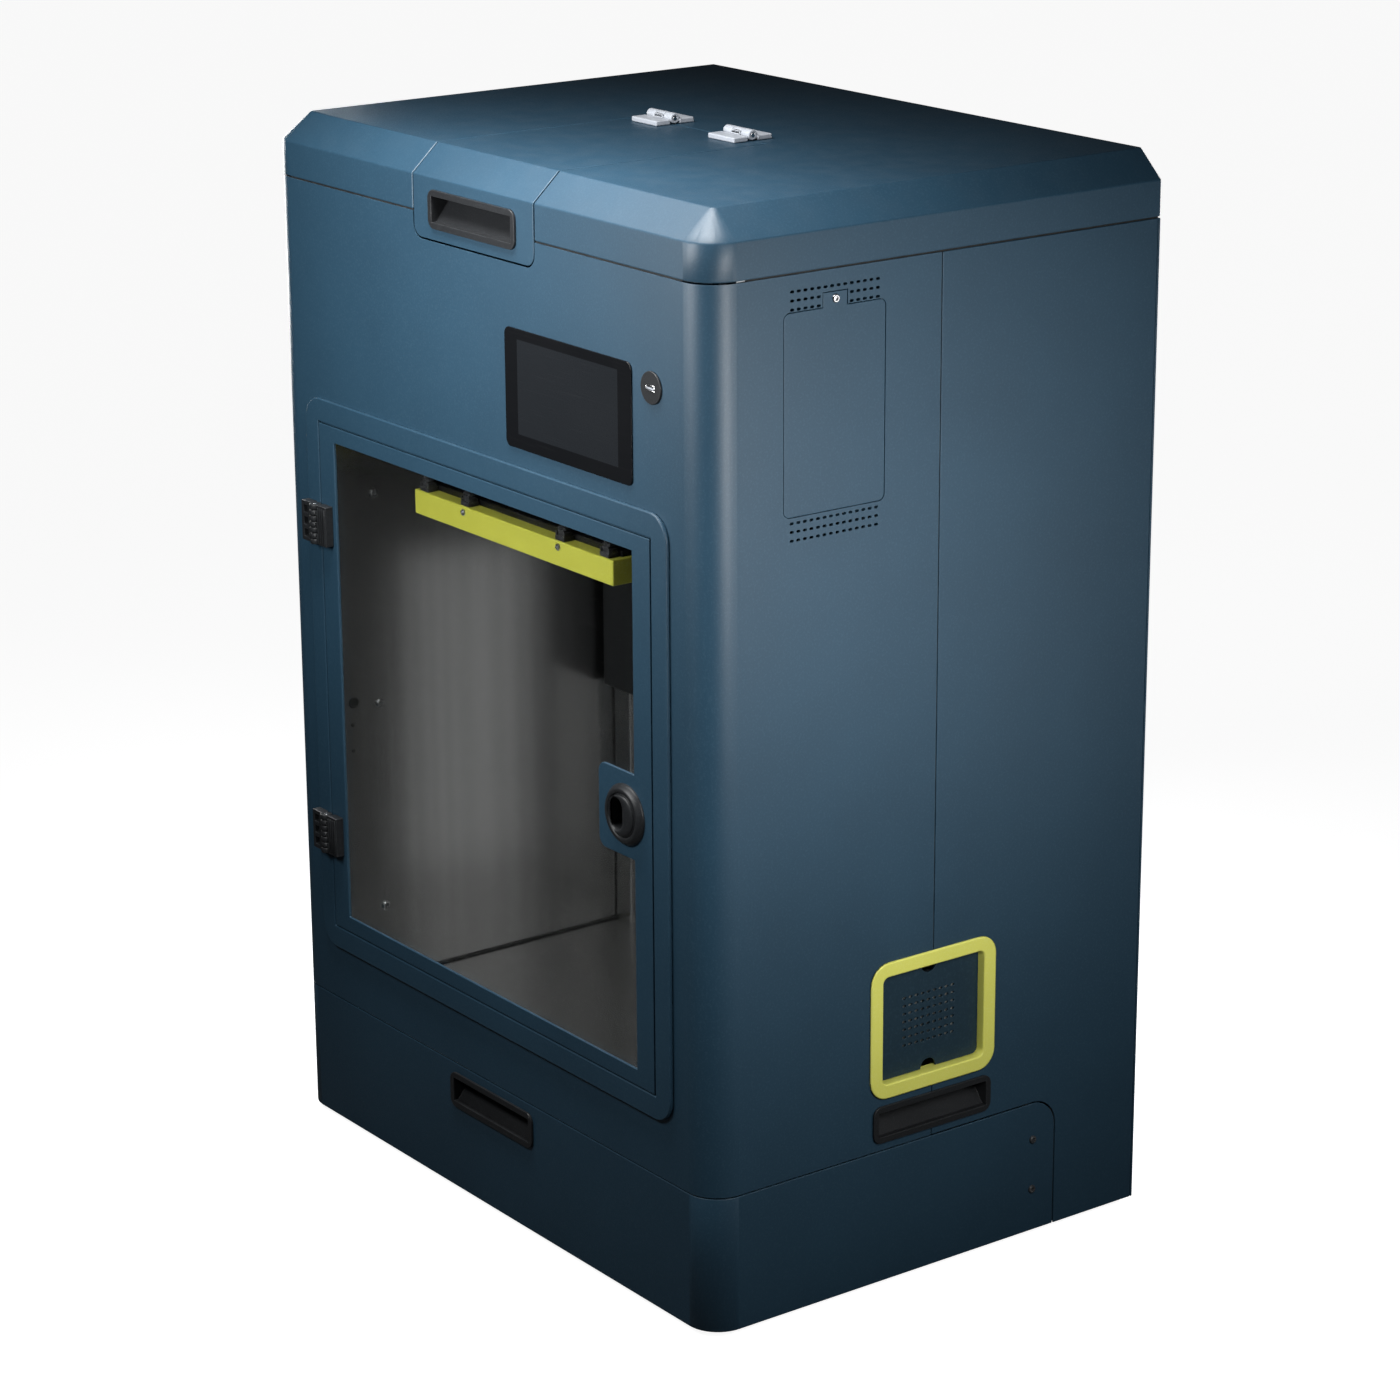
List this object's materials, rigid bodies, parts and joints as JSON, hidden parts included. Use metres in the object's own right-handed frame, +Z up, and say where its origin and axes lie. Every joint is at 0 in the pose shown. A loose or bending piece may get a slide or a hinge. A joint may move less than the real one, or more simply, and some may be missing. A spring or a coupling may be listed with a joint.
{
  "type": "enclosed 3d printer",
  "caption": "Floor-standing enclosed 3D printer with glazed door, top hatch, base drawer, stainless chamber, lifting bed and gantry-driven print head.",
  "frame": {"origin": "on the floor under the middle of the overall box", "axes": "+X is the right-hand side seen from the front; -Y is the front with the door; +Z up"},
  "size_m": [0.705, 0.529, 1.0365],
  "materials": {
    "powder_blue": "fine-texture petrol blue powder coat",
    "stainless": "brushed stainless sheet, vertical grain",
    "zinc_steel": "zinc plated sheet",
    "bright_steel": "ground bright steel",
    "black_screw": "blackened steel screw",
    "lime_paint": "satin lime paint",
    "perforated_grey": "satin dark coat on perforated sheet",
    "black_plastic": "moulded black, fine grain",
    "pale_plastic": "moulded pale grey",
    "rubber_black": "matt rubber",
    "clear_glass": "clear toughened glass",
    "screen_glass": "cover glass over a dark display",
    "black_paint": "satin black coat",
    "filter_media": "pleated filter felt",
    "aluminium": "anodised aluminium",
    "brass": "turned brass",
    "motor_black": "black enamel",
    "clamp_black": "blackened spring steel",
    "board_green": "green laminate with components"
  },
  "bodies": {
    "cabinet": {"base_pan": "powder_blue", "levelling_feet": "rubber_black", "inner_frame": "zinc_steel", "chamber_floor": "stainless", "drawer_rails": "zinc_steel", "front_shell": "powder_blue", "side_panels": "powder_blue", "back_panel": "powder_blue", "lid": "powder_blue", "lid_hinge_leaves": "pale_plastic", "hinge_pins": "bright_steel", "door_surround": "powder_blue", "door_seal": "rubber_black", "door_hinge_bases": "black_plastic", "touch_display": "screen_glass", "data_socket": "black_plastic", "service_cover": "powder_blue", "cabinet_screws": "bright_steel", "filter_ring": "lime_paint", "filter_housing": "zinc_steel", "lift_pulls": "black_plastic", "chamber_walls": "stainless", "chamber_heater": "black_paint", "heater_duct": "stainless", "gantry_deck": "stainless", "guide_rails": "bright_steel", "axis_motors": "motor_black", "gantry_belts": "rubber_black", "power_supply": "zinc_steel", "control_board": "board_green", "mains_inlet": "black_plastic"},
    "drawer": {"drawer_skirt": "powder_blue", "drawer_pull": "black_plastic", "drawer_tray": "zinc_steel", "drawer_slides": "zinc_steel", "wing_screws": "black_screw"},
    "hatch": {"hatch_panel": "powder_blue", "hatch_pull": "black_plastic", "hatch_hinge_leaves": "pale_plastic"},
    "door": {"door_leaf": "powder_blue", "door_glass": "clear_glass", "latch_bezel": "black_plastic", "door_hinge_arms": "black_plastic"},
    "latch": {"latch_knob": "black_plastic"},
    "filter": {"filter_plate": "perforated_grey", "filter_cartridge": "filter_media"},
    "fan": {"fan_rotor": "black_plastic"},
    "bed": {"bed_frame": "lime_paint", "heated_plate": "aluminium", "build_plate": "clear_glass", "bed_clamps": "clamp_black", "bed_carriage": "zinc_steel", "lift_runners": "aluminium"},
    "lead": {"lead_screw": "bright_steel"},
    "gantry": {"gantry_trucks": "aluminium", "cross_beam": "aluminium", "cross_drive": "motor_black"},
    "head": {"print_head": "black_plastic", "hot_ends": "brass"},
    "rocker": {"power_rocker": "black_plastic"}
  },
  "joints": [
    {"name": "door_hinge", "type": "hinge", "parent": "cabinet", "child": "door", "pos_m": [-0.27275, -0.25845, 0.4765], "axis": [0, 0, -1], "range_deg": [0, 115]},
    {"name": "latch_turn", "type": "hinge", "parent": "door", "child": "latch", "pos_m": [0.233, -0.25205, 0.474], "axis": [0, -1, 0], "range_deg": [0, 90]},
    {"name": "hatch_hinge", "type": "hinge", "parent": "cabinet", "child": "hatch", "pos_m": [0, 0.00695, 1.0315], "axis": [-1, 0, 0], "range_deg": [0, 105]},
    {"name": "drawer_slide", "type": "slide", "parent": "cabinet", "child": "drawer", "axis": [0, -1, 0], "range_m": [0, 0.3]},
    {"name": "bed_lift", "type": "slide", "parent": "cabinet", "child": "bed", "axis": [0, 0, -1], "range_m": [0, 0.415]},
    {"name": "lead_turn", "type": "hinge", "parent": "cabinet", "child": "lead", "pos_m": [0, 0.11345, 0.14175], "axis": [0, 0, 1], "continuous": true},
    {"name": "gantry_slide", "type": "slide", "parent": "cabinet", "child": "gantry", "axis": [0, 1, 0], "range_m": [-0.085, 0.085]},
    {"name": "head_slide", "type": "slide", "parent": "gantry", "child": "head", "axis": [1, 0, 0], "range_m": [-0.13, 0.13]},
    {"name": "filter_pull", "type": "slide", "parent": "cabinet", "child": "filter", "axis": [1, 0, 0], "range_m": [0, 0.06]},
    {"name": "fan_spin", "type": "hinge", "parent": "cabinet", "child": "fan", "pos_m": [0.305, 0.00695, 0.255], "axis": [1, 0, 0], "continuous": true},
    {"name": "rocker_tilt", "type": "hinge", "parent": "cabinet", "child": "rocker", "pos_m": [-0.22, 0.25295, 0.254], "axis": [1, 0, 0], "range_deg": [-8, 8]}
  ],
  "couplings": [
    {"joint": "lead_turn", "follows": "bed_lift", "rad_per_m": 314.16}
  ]
}
